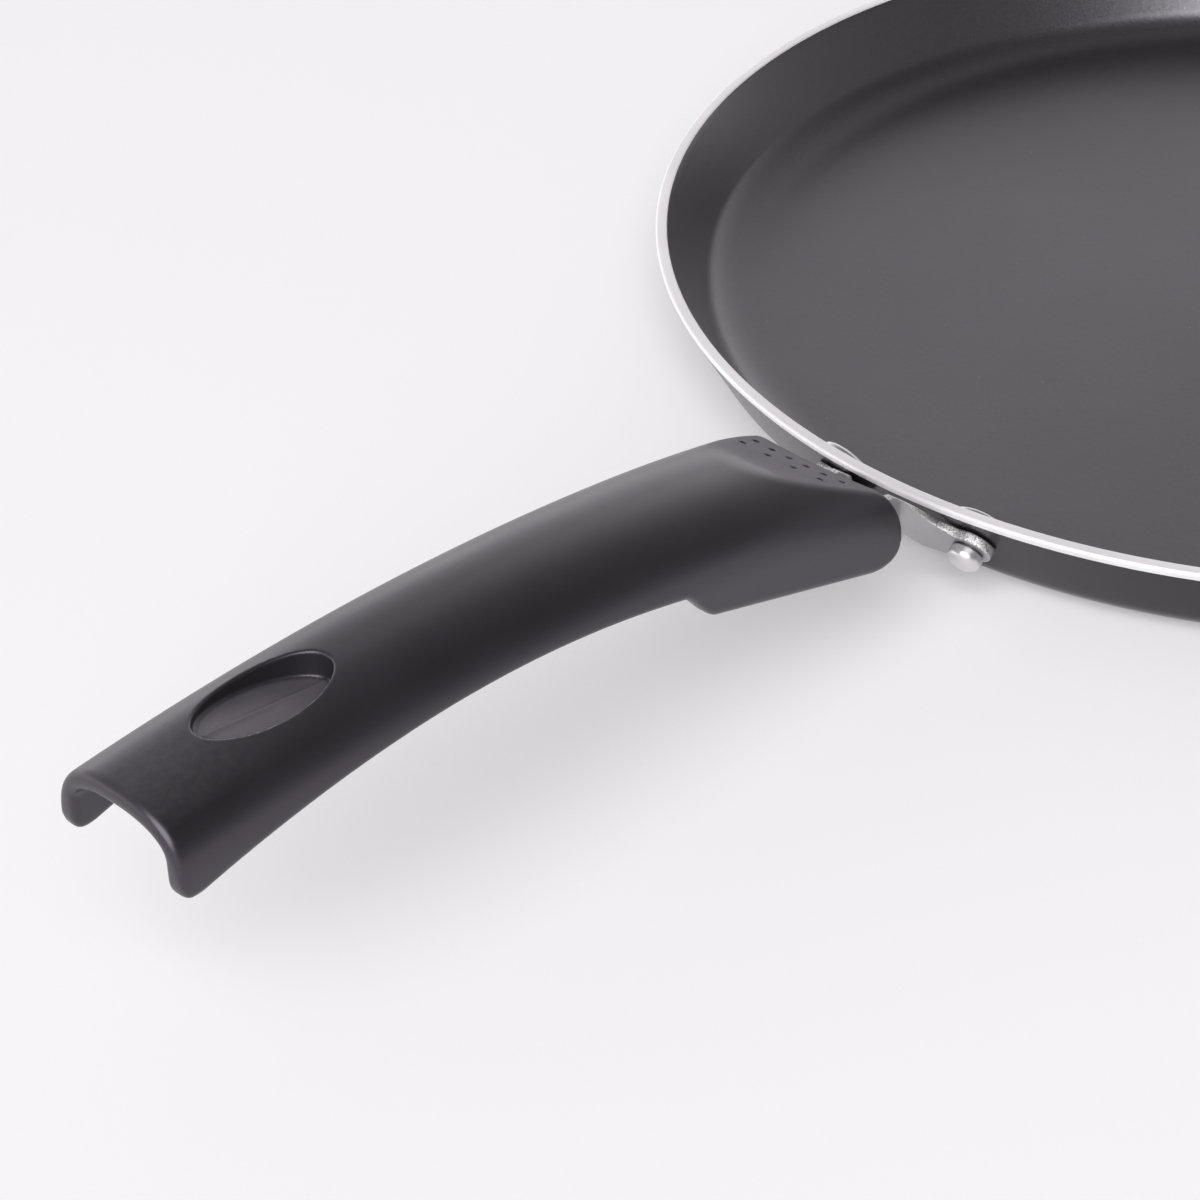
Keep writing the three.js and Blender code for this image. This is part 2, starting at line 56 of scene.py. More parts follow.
# Pan
RIM_RADIUS = 140.0
PAN_HEIGHT = 21.0
SHEET = 2.4
FLARE = math.radians(29.5)
BASE_BEND = 11.0
INNER_BEND = 6.9
LIP_ROUND_OUT = 0.6
LIP_ROUND_IN = 0.5
LIP_BARE_DROP = 2.0
FLAT_RINGS = (30, 60, 90, 110)
OUTER_WALL_FROM = 8.0
OUTER_WALL_RINGS = 8
INNER_WALL_FROM = 9.5
INNER_WALL_DROP = 1.0
INNER_WALL_RINGS = 7
BASE_BEND_STEPS = 14
INNER_BEND_STEPS = 40
LIP_STEPS_OUT = 8
LIP_STEPS_IN = 5
PAN_SEGMENTS = 288
PAN_HOLE_SEGMENTS = 48
PAN_SHARP_ANGLE = 35

# Rivets
RIVET_DROP = 8.4
RIVET_ANGLE = math.radians(7.2)
SHANK_RADIUS = 2.2
INNER_HEAD_RADIUS = 6.6
INNER_HEAD_COLLAR = 0.5
INNER_HEAD_DOME = 1.7
OUTER_HEAD_RADIUS = 3.4
OUTER_HEAD_HEIGHT = 3.4
OUTER_HEAD_COLLAR = 1.4
OUTER_HEAD_EDGE = 0.25
DOME_POINTS = 13
RIVET_SEGMENTS = 72
RIVET_SHARP_ANGLE = 38

# Bracket
STRIP = 2.0
STRIP_EDGE = 0.3
STRIP_EDGE_SHARE = 0.3
STRAP_HEIGHT = 7.6
STRAP_RISE = math.tan(math.radians(40))
EAR_HALF_HEIGHT = 3.5
EAR_END_REACH = 4.8
EAR_ROOT_DROP = 5.2
EAR_BEND = 9.3
CHANNEL_WIDTH = 11.4
TONGUE_ANGLE = math.radians(17)
TONGUE_REACH = 44.0
TONGUE_CLEARANCE = 0.5
WEB_FROM_FRONT = 8.0
WEB_INSET = 0.5
WEB_NUDGE = 0.01
EAR_END_RINGS = 14
EAR_RINGS = 15
BEND_RINGS = 12
LEG_RINGS = 5
TONGUE_RINGS = 7
BRACKET_HOLE_SEGMENTS = 40

# Handle
FRONT_GAP = 17.0
HANDLE_LENGTH = 169.6
FRONT_HALF_WIDTH = 17.5
END_HALF_WIDTH = 15.3
WIDENING_AHEAD = 0.05
CROWN_PEAK_RISE = 37.56
CROWN_PEAK_REACH = 135.0
CROWN_ARC = 535.0
CROWN_WALL = 3.6
LEG_WALL = 4.4
ARCH_RISE = 8.5
ARCH_POWER = 2.2
OUTER_ARCH_RISE = 13.0
OUTER_ARCH_POWER = 2.45
FRONT_ARCH_EXTRA = 3.5
FRONT_ARCH_LENGTH = 45.0
UNDER_PEAK_RISE = 27.2
UNDER_PEAK_REACH = 115.0
UNDER_ARC = 226.0
SKIRT_FRONT_DROP = 2.6
SKIRT_SLOPE = math.tan(math.radians(17))
SKIRT_LENGTH = 49.0
SKIRT_STEP = 8.0
NOSE_LENGTH = 8.0
NOSE_RISE = 4.8
FOOT_ROUND = 1.5
FOOT_END_LENGTH = 5.0
FOOT_END_LIFT = 2.6
FOOT_TILT = 0.96
FASCIA_RISE = 11.8
FASCIA_ANGLE = math.radians(33.5)
FRONT_ROUND_FROM = 6.0
FRONT_ROUND = 12.0
SHOULDER_RISE = 7.5
SHOULDER_BLEND = 3.0
BAND_RISE = 13.2
BAND_ANGLE = math.radians(28)
BAND_DEPTH = 24.0
BAND_FADE = 3.0
BAND_DOT_ROWS = ((165.8, 6, 1.45), (170.6, 4, 2.1))
BAND_DOT_RADIUS = 0.8
BAND_DOT_LIFT = 0.2
RECESS_FROM_END = 31.3
RECESS_HALF_LENGTH = 13.8
RECESS_HALF_WIDTH = 7.0
RECESS_DEPTH = 3.3
RECESS_TILT = math.radians(8)
RECESS_WALL = 2.4
RECESS_RIDGE = 0.05
RECESS_RIB = 0.32
RECESS_RIB_WIDTH = 0.6
SCREW_FROM_FRONT = 24.0
SCREW_RADIUS = 2.4
BUSH_RADIUS = 4.0
BUSH_LENGTH = 8.0
BOSS_RADIUS = 5.4
RIB_THICKNESS = 2.4
RIB_SPACING = 18.0

# Widths over which two faces of the handle run into each other, and the depth at which inner forms end
DOT_EDGE = 0.3
BAND_EDGE = 1.4
FRONT_EDGE = 1.4
FOOT_EDGE = 1.8
END_EDGE = 1.9
HOLLOW_EDGE = 1.6
PAD_EDGE = 0.8
PAD_FILLET = 1.0
BOSS_EDGE = 0.6
BOSS_FILLET = 0.8
BORE_EDGE = 0.3
RECESS_EDGE = 0.7
INSIDE_DEPTH = 1.3
INSIDE_EDGE = 0.2

rivet_z = PAN_HEIGHT - RIVET_DROP
front = RIM_RADIUS + FRONT_GAP
handle_end = front + HANDLE_LENGTH
recess_centre = handle_end - RECESS_FROM_END
leg_inner = CHANNEL_WIDTH / 2
leg_outer = leg_inner + STRIP
leg_mid = leg_inner + STRIP / 2

# Grid that the handle is skinned on: where its steps along the handle change, and the steps
GRID_STOPS = (front - 2.0, front + 22, front + 62,
              handle_end - 50, handle_end - 16, handle_end - 3, handle_end + 0.9)
GRID_STEPS = (0.4, 0.7, 1.1, 0.45, 0.8, 0.3)
GRID_ACROSS = 82
GRID_UP = 0.46
GRID_BELOW = 4.0
GRID_MARGIN = 1.0

# Where the matt parts of the handle begin and where they are fully matt
MATT_RECESS_INSIDE = (0.2, 1.2)
MATT_RECESS_UPWARD = 0.3
MATT_BAND_FACING = (0.93, 0.985)
MATT_BAND_OFF = (1.4, 0.8)


# Materials

COAT_TINT = (1.0, 0.985, 1.02)
PAINT_TINT = (1.0, 0.95, 1.05)
LIP_TINT = (1.0, 0.985, 0.985)
MOULDING_TINT = (1.0, 0.92, 1.07)
LIGHT_GREY_TINT = (1.0, 0.94, 1.05)
GLOSS_TINT = (1.0, 0.92, 1.06)
# Where the crown's end turns lighter on faces that look up, and how far up they must look
LIGHTER_FROM_END = 44
LIGHTER_FULL_FROM_END = 10
LIGHTER_UPWARD = (0.75, 0.97)
NOISE_LOW, NOISE_HIGH, GRAIN_HIGH = 0.3, 0.7, 0.75
FINE_BUMP = 0.0001
GRAINS_PER_PATCH = 12
SPECK_SPREAD = (0.05, 0.12)
SPECK_PICK = (0.955, 0.96)
SPECK_SHARE = 0.75
SPECK_LEVEL = 0.3


def material(name):
    made = bpy.data.materials.new(name)
    made.use_nodes = True
    return made, made.node_tree, made.node_tree.nodes["Principled BSDF"]


def add(tree, kind, **settings):
    node = tree.nodes.new(kind)
    for key, value in settings.items():
        if key in node.inputs:
            node.inputs[key].default_value = value
        else:
            setattr(node, key, value)
    return node


def object_place(tree):
    return add(tree, "ShaderNodeTexCoord").outputs["Object"]


def noise(tree, place, scale, detail=2.0, rough=0.5):
    node = add(tree, "ShaderNodeTexNoise", Scale=scale, Detail=detail, Roughness=rough)
    tree.links.new(place, node.inputs["Vector"])
    return node.outputs["Fac"]


def cells(tree, place, scale):
    node = add(tree, "ShaderNodeTexVoronoi", Scale=scale)
    tree.links.new(place, node.inputs["Vector"])
    return node


def split_xyz(tree, vector):
    node = add(tree, "ShaderNodeSeparateXYZ")
    tree.links.new(vector, node.inputs["Vector"])
    return node.outputs


def times(tree, first, second):
    node = add(tree, "ShaderNodeMath", operation="MULTIPLY")
    tree.links.new(first, node.inputs[0])
    tree.links.new(second, node.inputs[1])
    return node.outputs[0]


def ramp(tree, factor, stops):
    node = add(tree, "ShaderNodeValToRGB")
    elements = node.color_ramp.elements
    while len(elements) < len(stops):
        elements.new(0.5)
    for element, (at, colour) in zip(elements, stops):
        element.position = at
        element.color = (*colour, 1)
    tree.links.new(factor, node.inputs["Fac"])
    return node.outputs["Color"]


def span(tree, value, low, high, to_low, to_high):
    node = add(tree, "ShaderNodeMapRange")
    for key, number in (("From Min", low), ("From Max", high), ("To Min", to_low), ("To Max", to_high)):
        node.inputs[key].default_value = number
    tree.links.new(value, node.inputs["Value"])
    return node.outputs["Result"]


def bump(tree, height, strength, distance, before=None):
    node = add(tree, "ShaderNodeBump", Strength=strength, Distance=distance)
    tree.links.new(height, node.inputs["Height"])
    if before is not None:
        tree.links.new(before, node.inputs["Normal"])
    return node.outputs["Normal"]


def mix_colour(tree, factor, first, second):
    node = add(tree, "ShaderNodeMix", data_type="RGBA")
    tree.links.new(factor, node.inputs[0])
    for socket, value in ((node.inputs[6], first), (node.inputs[7], second)):
        if isinstance(value, tuple):
            socket.default_value = (*value, 1)
        else:
            tree.links.new(value, socket)
    return node.outputs[2]


def grey(level, tint):
    return tuple(level * t for t in tint)


def shades(tree, factor, dark, light, tint, high=NOISE_HIGH):
    """A grey that a noise moves between two levels."""
    return ramp(tree, factor, [(NOISE_LOW, grey(dark, tint)), (high, grey(light, tint))])


def levels(tree, factor, low, high, top=NOISE_HIGH):
    """A number that a noise moves between two levels."""
    return span(tree, factor, NOISE_LOW, top, low, high)


def coat_material():
    """A grey coat with a fine grain and a few light specks."""
    made, tree, shader = material("nonstick_coat")
    place = object_place(tree)
    grain = noise(tree, place, scale=1500, detail=2, rough=0.7)
    base = shades(tree, noise(tree, place, scale=14, detail=3), 0.178, 0.196, COAT_TINT)
    dots = cells(tree, place, scale=420)
    speck = span(tree, dots.outputs["Distance"], *SPECK_SPREAD, 1.0, 0.0)
    pick = add(tree, "ShaderNodeSeparateColor")
    tree.links.new(dots.outputs["Color"], pick.inputs["Color"])
    rare = span(tree, pick.outputs["Red"], *SPECK_PICK, 0.0, SPECK_SHARE)
    shade = add(tree, "ShaderNodeMix", data_type="RGBA", blend_type="MULTIPLY")
    shade.inputs[0].default_value = 1.0
    tree.links.new(base, shade.inputs[6])
    tree.links.new(shades(tree, grain, 0.92, 1.0, COAT_TINT, GRAIN_HIGH), shade.inputs[7])
    colour = mix_colour(tree, times(tree, speck, rare), shade.outputs[2], grey(SPECK_LEVEL, PAINT_TINT))
    tree.links.new(colour, shader.inputs["Base Color"])
    tree.links.new(levels(tree, grain, 0.30, 0.38, GRAIN_HIGH), shader.inputs["Roughness"])
    shader.inputs["Metallic"].default_value = 0.95
    peel = bump(tree, noise(tree, place, scale=620), 0.12, 2 * FINE_BUMP)
    tree.links.new(bump(tree, grain, 0.16, FINE_BUMP, peel), shader.inputs["Normal"])
    return made


def paint_material():
    """The dark paint on the pan's outside."""
    made, tree, shader = material("outer_paint")
    place = object_place(tree)
    fine = noise(tree, place, scale=1700, detail=2, rough=0.6)
    cloud = noise(tree, place, scale=25, detail=3)
    tree.links.new(shades(tree, cloud, 0.009, 0.013, PAINT_TINT), shader.inputs["Base Color"])
    tree.links.new(levels(tree, fine, 0.17, 0.25), shader.inputs["Roughness"])
    shader.inputs["Specular IOR Level"].default_value = 0.2
    shader.inputs["Specular Tint"].default_value = (*GLOSS_TINT, 1)
    tree.links.new(bump(tree, fine, 0.12, FINE_BUMP), shader.inputs["Normal"])
    return made


def metal(name, colour, rough, grain_scale, strength):
    made, tree, shader = material(name)
    place = object_place(tree)
    fine = noise(tree, place, grain_scale, detail=3, rough=0.6)
    broad = noise(tree, place, grain_scale / GRAINS_PER_PATCH)
    tree.links.new(shades(tree, broad, 0.9, 1.0, colour), shader.inputs["Base Color"])
    shader.inputs["Metallic"].default_value = 1.0
    tree.links.new(levels(tree, fine, *rough), shader.inputs["Roughness"])
    tree.links.new(bump(tree, fine, strength, FINE_BUMP), shader.inputs["Normal"])
    return made


def turned_material():
    """Bare metal with the fine rings of a lathe around the pan's axis."""
    made, tree, shader = material("turned_lip")
    place = object_place(tree)
    split = split_xyz(tree, place)
    flat = add(tree, "ShaderNodeCombineXYZ")
    tree.links.new(split["X"], flat.inputs["X"])
    tree.links.new(split["Y"], flat.inputs["Y"])
    length = add(tree, "ShaderNodeVectorMath", operation="LENGTH")
    tree.links.new(flat.outputs["Vector"], length.inputs[0])
    ring = add(tree, "ShaderNodeCombineXYZ")
    tree.links.new(length.outputs["Value"], ring.inputs["X"])
    tree.links.new(split["Z"], ring.inputs["Z"])
    lines = noise(tree, ring.outputs["Vector"], scale=3200, detail=3, rough=0.6)
    patch = noise(tree, place, scale=60)
    tree.links.new(shades(tree, patch, 0.86, 0.93, LIP_TINT), shader.inputs["Base Color"])
    shader.inputs["Metallic"].default_value = 0.35
    tree.links.new(levels(tree, lines, 0.36, 0.5), shader.inputs["Roughness"])
    tree.links.new(bump(tree, lines, 0.18, FINE_BUMP), shader.inputs["Normal"])
    return made


def sheared_material():
    """The torn metal of a cut edge."""
    made, tree, shader = material("sheared_edge")
    place = object_place(tree)
    coarse = noise(tree, place, scale=2600, detail=3, rough=0.7)
    stops = [(0.38, grey(0.32, (1, 1, 1))), (0.56, grey(0.85, (1, 0.99, 0.98)))]
    tree.links.new(ramp(tree, coarse, stops), shader.inputs["Base Color"])
    shader.inputs["Metallic"].default_value = 1.0
    tree.links.new(levels(tree, coarse, 0.5, 0.28), shader.inputs["Roughness"])
    tears = bump(tree, cells(tree, place, scale=4200).outputs["Distance"], 0.6, 1.5 * FINE_BUMP)
    tree.links.new(bump(tree, coarse, 0.6, 2 * FINE_BUMP, tears), shader.inputs["Normal"])
    return made


def moulding_material():
    """A dark moulding: the crown's end is lighter on its upward faces, the band and the recess's floor are
    matt.
    """
    made, tree, shader = material("black_moulding")
    place = object_place(tree)
    cloud = noise(tree, place, scale=30, detail=3)
    fine = noise(tree, place, scale=1900, detail=2, rough=0.6)
    speckle = noise(tree, place, scale=620, detail=4, rough=0.7)
    grain = noise(tree, place, scale=2600, detail=3, rough=0.7)
    patch = noise(tree, place, scale=120)
    shade = shades(tree, cloud, 0.013, 0.017, MOULDING_TINT)
    # A lighter grey on the crown's end, only on faces that look up
    lighter_top = shades(tree, speckle, 0.024, 0.044, LIGHT_GREY_TINT)
    dull = shades(tree, patch, 0.085, 0.104, LIGHT_GREY_TINT)
    lighter_from = (handle_end - LIGHTER_FROM_END) * MM
    lighter_full = (handle_end - LIGHTER_FULL_FROM_END) * MM
    along = span(tree, split_xyz(tree, place)["X"], lighter_from, lighter_full, 0.0, 1.0)
    normal = add(tree, "ShaderNodeNewGeometry").outputs["Normal"]
    upward = span(tree, split_xyz(tree, normal)["Z"], *LIGHTER_UPWARD, 0.0, 1.0)
    glossy_colour = mix_colour(tree, times(tree, along, upward), shade, lighter_top)
    matt = add(tree, "ShaderNodeAttribute", attribute_name="matt").outputs["Fac"]
    tree.links.new(mix_colour(tree, matt, glossy_colour, dull), shader.inputs["Base Color"])
    rough = add(tree, "ShaderNodeMix", data_type="FLOAT")
    tree.links.new(matt, rough.inputs[0])
    tree.links.new(levels(tree, cloud, 0.30, 0.37), rough.inputs[2])
    tree.links.new(levels(tree, grain, 0.45, 0.6), rough.inputs[3])
    tree.links.new(rough.outputs[0], shader.inputs["Roughness"])
    shader.inputs["Specular IOR Level"].default_value = 0.75
    shader.inputs["Specular Tint"].default_value = (*GLOSS_TINT, 1)
    wave = bump(tree, noise(tree, place, scale=90, detail=1), 0.05, 6 * FINE_BUMP)
    tree.links.new(bump(tree, fine, 0.1, FINE_BUMP, wave), shader.inputs["Normal"])
    return made


COAT = coat_material()
PAINT = paint_material()
LIP = turned_material()
ALUMINIUM = metal("bare_aluminium", (0.46, 0.455, 0.46), rough=(0.36, 0.5), grain_scale=700, strength=0.12)
SHEARED = sheared_material()
RIVET = metal("rivet_aluminium", (0.8, 0.79, 0.8), rough=(0.28, 0.4), grain_scale=420, strength=0.02)
MOULDING = moulding_material()
STEEL = metal("plated_steel", (0.62, 0.62, 0.64), rough=(0.25, 0.4), grain_scale=500, strength=0.1)
BRASS = metal("turned_brass", (0.72, 0.54, 0.2), rough=(0.25, 0.4), grain_scale=500, strength=0.1)


# Meshes

def piece(name, points, faces, materials, marks=None, sharp=None, normals=None, matt=None):
    mesh = bpy.data.meshes.new(name)
    mesh.from_pydata([tuple(p) for p in np.asarray(points) * MM], [], faces)
    for made in materials:
        mesh.materials.append(made)
    if marks is not None:
        mesh.polygons.foreach_set("material_index", marks)
    mesh.polygons.foreach_set("use_smooth", [True] * len(mesh.polygons))
    if sharp is not None:
        mesh.set_sharp_from_angle(angle=math.radians(sharp))
    if normals is not None:
        mesh.normals_split_custom_set_from_vertices([tuple(n) for n in normals])
    if matt is not None:
        mesh.attributes.new("matt", "FLOAT", "POINT").data.foreach_set("value", matt)
    mesh.update()
    made = bpy.data.objects.new(name, mesh)
    bpy.context.scene.collection.objects.link(made)
    return made


def stand_for(made, node):
    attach(made, "root")
    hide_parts(node)
    return made


def cut(made, tool, operation):
    """Joins or cuts a mesh with another one, which is used up."""
    change = made.modifiers.new("cut", "BOOLEAN")
    change.operation = operation
    change.solver = "EXACT"
    change.object = tool
    seen = made.evaluated_get(bpy.context.evaluated_depsgraph_get())
    new = bpy.data.meshes.new_from_object(seen)
    made.modifiers.clear()
    old, made.data = made.data, new
    bpy.data.meshes.remove(old)
    used = tool.data
    bpy.data.objects.remove(tool)
    bpy.data.meshes.remove(used)
    return made


def lathe(name, profile, segments, materials, marks=None, sharp=SHARP_ANGLE):
    """A profile of (radius, height), from axis to axis, turned about Z."""
    turn = 2 * math.pi * np.arange(segments) / segments
    points, rows = [], []
    for radius, height in profile:
        if radius < 1e-6:
            rows.append([len(points)] * segments)
            points.append((0, 0, height))
        else:
            rows.append(list(range(len(points), len(points) + segments)))
            points.extend((radius * math.cos(a), radius * math.sin(a), height) for a in turn)
    faces, face_marks = [], []
    for k in range(len(rows) - 1):
        for j in range(segments):
            n = (j + 1) % segments
            ring = [rows[k][j], rows[k][n], rows[k + 1][n], rows[k + 1][j]]
            ring = [v for i, v in enumerate(ring) if v != ring[i - 1]]
            faces.append(ring)
            face_marks.append(0 if marks is None else marks[k])
    return piece(name, points, faces, materials, face_marks, sharp)


def arc(cx, cz, radius, start, end, count):
    turns = np.linspace(start, end, count + 1)
    return [(cx + radius * math.cos(a), cz + radius * math.sin(a)) for a in turns]


def hole(radius, low, high, segments, matrix):
    """A bar that cuts a hole, along the Z axis of a matrix."""
    made = lathe("hole", [(0, low), (radius, low), (radius, high), (0, high)], segments, [COAT])
    made.data.transform(matrix)
    return made


def wall_radius(z):
    return RIM_RADIUS - (PAN_HEIGHT - z) * math.tan(FLARE)


def floor_bend(run):
    """The inside bend from the wall to the floor: tight at the wall, running out flat on the floor."""
    u = np.linspace(0, 1, INNER_BEND_STEPS + 1)
    turn = FLARE + (math.pi / 2 - FLARE) * (1 - (1 - u) ** 2)
    step = 2 * (math.pi / 2 - FLARE) * INNER_BEND / INNER_BEND_STEPS
    middle = (turn[1:] + turn[:-1]) / 2
    down = np.concatenate([[0], np.cumsum(np.cos(middle))]) * step
    across = np.concatenate([[0], np.cumsum(np.sin(middle))]) * step
    z = SHEET + down[-1] - down
    return [(wall_radius(z[0]) - run - a, h) for a, h in zip(across, z)]


def rivet_matrix(side):
    """Frame of a rivet on the wall's outside, in metres: Z points out of the wall."""
    angle = side * RIVET_ANGLE
    reach = wall_radius(rivet_z)
    place = Matrix.Translation(Vector((reach * math.cos(angle), reach * math.sin(angle), rivet_z)) * MM)
    return place @ Matrix.Rotation(angle, 4, "Z") @ Matrix.Rotation(math.pi / 2 + FLARE, 4, "Y")


def cut_rivet_holes(made, segments):
    reach = SHEET + STRIP + HOLE_OVERRUN
    for side in (1, -1):
        cut(made, hole(SHANK_RADIUS + FIT_GAP, -reach, reach, segments, rivet_matrix(side)), "DIFFERENCE")


def pan():
    run = SHEET / math.cos(FLARE)
    base = wall_radius(0) - BASE_BEND * math.tan((math.pi / 2 - FLARE) / 2)
    bare = PAN_HEIGHT - LIP_BARE_DROP
    low_out, low_in = PAN_HEIGHT - LIP_ROUND_OUT, PAN_HEIGHT - LIP_ROUND_IN
    outer = [(0, 0)] + [(r, 0) for r in FLAT_RINGS]
    outer += arc(base, BASE_BEND, BASE_BEND, -math.pi / 2, -FLARE, BASE_BEND_STEPS)
    outer += [(wall_radius(z), z) for z in np.linspace(OUTER_WALL_FROM, bare, OUTER_WALL_RINGS)]
    bare_start = len(outer) - 1
    turn_out = wall_radius(low_out) - LIP_ROUND_OUT / math.cos(FLARE)
    turn_in = wall_radius(low_in) - run + LIP_ROUND_IN / math.cos(FLARE)
    lip = arc(turn_out, low_out, LIP_ROUND_OUT, -FLARE, math.pi / 2, LIP_STEPS_OUT)
    lip += arc(turn_in, low_in, LIP_ROUND_IN, math.pi / 2, math.pi - FLARE, LIP_STEPS_IN)
    bare_end = bare_start + len(lip)
    heights = np.linspace(low_in - INNER_WALL_DROP, INNER_WALL_FROM, INNER_WALL_RINGS)
    inner = [(wall_radius(z) - run, z) for z in heights]
    inner += floor_bend(run)
    inner += [(r, SHEET) for r in FLAT_RINGS[::-1]] + [(0, SHEET)]
    profile = outer + lip + inner
    marks = [2 if k < bare_start else 1 if k < bare_end else 0 for k in range(len(profile) - 1)]
    made = lathe("pan_dish", profile, PAN_SEGMENTS, [COAT, LIP, PAINT], marks, PAN_SHARP_ANGLE)
    cut_rivet_holes(made, PAN_HOLE_SEGMENTS)
    return stand_for(made, "pan_body")


def rivet(name, side, node):
    head_top = -SHEET - FIT_GAP
    head_edge = head_top - INNER_HEAD_COLLAR
    seat = STRIP + 2 * FIT_GAP
    collar = seat + OUTER_HEAD_COLLAR
    dome = OUTER_HEAD_HEIGHT - OUTER_HEAD_COLLAR
    profile = [(0, head_edge - INNER_HEAD_DOME)]
    for a in np.linspace(math.pi / 2, 0, DOME_POINTS)[1:]:
        profile.append((INNER_HEAD_RADIUS * math.cos(a), head_edge - INNER_HEAD_DOME * math.sin(a)))
    profile += [(INNER_HEAD_RADIUS, head_top), (SHANK_RADIUS, head_top), (SHANK_RADIUS, seat)]
    profile += [(OUTER_HEAD_RADIUS - OUTER_HEAD_EDGE, seat), (OUTER_HEAD_RADIUS, seat + OUTER_HEAD_EDGE)]
    for a in np.linspace(0, math.pi / 2, DOME_POINTS)[:-1]:
        profile.append((OUTER_HEAD_RADIUS * math.cos(a), collar + dome * math.sin(a)))
    profile.append((0, collar + dome))
    made = lathe(name, profile, RIVET_SEGMENTS, [RIVET], None, RIVET_SHARP_ANGLE)
    made.data.transform(rivet_matrix(side))
    return stand_for(made, node)


# Handle, as a field that is negative inside

def smax(a, b, k):
    h = np.maximum(k - np.abs(a - b), 0) / k
    return np.maximum(a, b) + h * h * k / 4


def smin(a, b, k):
    return -smax(-a, -b, k)


def ease(value, low, high):
    t = np.clip((value - low) / (high - low), 0, 1)
    return t * t * (3 - 2 * t)


def crown_height(x):
    away = x - front - CROWN_PEAK_REACH
    return PAN_HEIGHT + CROWN_PEAK_RISE - CROWN_ARC + np.sqrt(CROWN_ARC ** 2 - away ** 2)


def fascia_height(r):
    """The CAD's sloping front, which the hollow follows."""
    return PAN_HEIGHT + FASCIA_RISE + (r - front) * math.tan(FASCIA_ANGLE)


def band_height(r):
    return PAN_HEIGHT + BAND_RISE + (r - front) * math.tan(BAND_ANGLE)


def underside_height(x):
    slope = PAN_HEIGHT - SKIRT_FRONT_DROP + (x - front) * SKIRT_SLOPE
    into = np.clip((front + NOSE_LENGTH - x) / NOSE_LENGTH, 0, 1)
    skirt = slope + NOSE_RISE * (1 - np.sqrt(1 - into * into))
    blend = ease(x, front + SKIRT_LENGTH, front + SKIRT_LENGTH + SKIRT_STEP)
    away = x - front - UNDER_PEAK_REACH
    grip = PAN_HEIGHT + UNDER_PEAK_RISE - UNDER_ARC + np.sqrt(UNDER_ARC ** 2 - away ** 2)
    lift = np.clip((x - handle_end + FOOT_END_LENGTH) / FOOT_END_LENGTH, 0, 1)
    foot = FOOT_END_LIFT * (1 - np.sqrt(1 - lift * lift))
    return skirt + (grip - skirt) * blend + foot


def half_width(x):
    along = np.clip((x - front) / HANDLE_LENGTH, -WIDENING_AHEAD, 1)
    return FRONT_HALF_WIDTH + (END_HALF_WIDTH - FRONT_HALF_WIDTH) * along


def arch_field(half, springing, top, y, z, power=ARCH_POWER):
    rise = top - springing
    a = np.abs(y) / half
    b = np.maximum(z - springing, 0) / rise
    total = np.maximum(a ** power + b ** power, 1e-3)
    g = total ** (1 / power) - 1
    da = a ** (power - 1) / half
    db = b ** (power - 1) / rise
    slope = total ** (1 / power - 1) * np.sqrt(da * da + db * db)
    return g / np.maximum(slope, 0.03)


def inner_arch(x):
    """Half width, springing and top of the hollow."""
    inner_top = np.minimum(crown_height(x), fascia_height(x)) - CROWN_WALL
    foot_top = underside_height(x) + FOOT_ROUND
    springing = np.maximum(foot_top + FIT_GAP, inner_top - ARCH_RISE + CROWN_WALL)
    return half_width(x) - LEG_WALL, springing, inner_top


def ceiling_height(x, y):
    half, springing, top = inner_arch(np.array(float(x)))
    share = 1 - (y / half) ** ARCH_POWER
    return float(springing + (top - springing) * share ** (1 / ARCH_POWER))


def tongue_low(x):
    base = ceiling_height(front, leg_outer) - TONGUE_CLEARANCE - STRAP_HEIGHT
    return base + (x - front) * math.tan(TONGUE_ANGLE)


def screw_place():
    """Where the screw's axis leaves the web's upper face: x and z."""
    reach = front + SCREW_FROM_FRONT
    return reach, tongue_low(reach) + STRIP / math.cos(TONGUE_ANGLE)


def front_reach(z):
    over = np.maximum(z - PAN_HEIGHT - FRONT_ROUND_FROM, 0)
    return front + over ** 2 / (2 * FRONT_ROUND)


def dents(x, y, z):
    """Two rows of round dents on the band."""
    nearest = None
    for reach, count, step in BAND_DOT_ROWS:
        for k in range(count):
            a = math.radians((k - (count - 1) / 2) * step)
            up = z - band_height(reach) - BAND_DOT_LIFT
            away = np.sqrt((x - reach * math.cos(a)) ** 2 + (y - reach * math.sin(a)) ** 2 + up ** 2)
            nearest = away if nearest is None else np.minimum(nearest, away)
    return nearest - BAND_DOT_RADIUS


def oval_field(dx, y, grow):
    a, b = RECESS_HALF_LENGTH + grow, RECESS_HALF_WIDTH + grow
    q = np.sqrt((dx / a) ** 2 + (y / b) ** 2)
    slope = np.sqrt((dx / a ** 2) ** 2 + (y / b ** 2) ** 2) / np.maximum(q, 1e-6)
    return (q - 1) / np.maximum(slope, 1e-3)


def body_field(x, y, z):
    """The handle's outside, as if it were solid."""
    r = np.sqrt(x * x + y * y)
    outer_top = smin(crown_height(x), band_height(x) + SHOULDER_RISE, SHOULDER_BLEND)
    near_front = np.clip((front + FRONT_ARCH_LENGTH - x) / FRONT_ARCH_LENGTH, 0, 1)
    rise = OUTER_ARCH_RISE + FRONT_ARCH_EXTRA * near_front ** 2
    outer = arch_field(half_width(x), outer_top - rise, outer_top, y, z, OUTER_ARCH_POWER)
    band = smax((z - band_height(r)) * math.cos(BAND_ANGLE), -dents(x, y, z), DOT_EDGE)
    body = smax(outer, band, BAND_EDGE)
    body = smax(body, front_reach(z) - r, FRONT_EDGE)
    body = smax(body, (underside_height(x) - z) * FOOT_TILT, FOOT_EDGE)
    return smax(body, x - handle_end, END_EDGE)


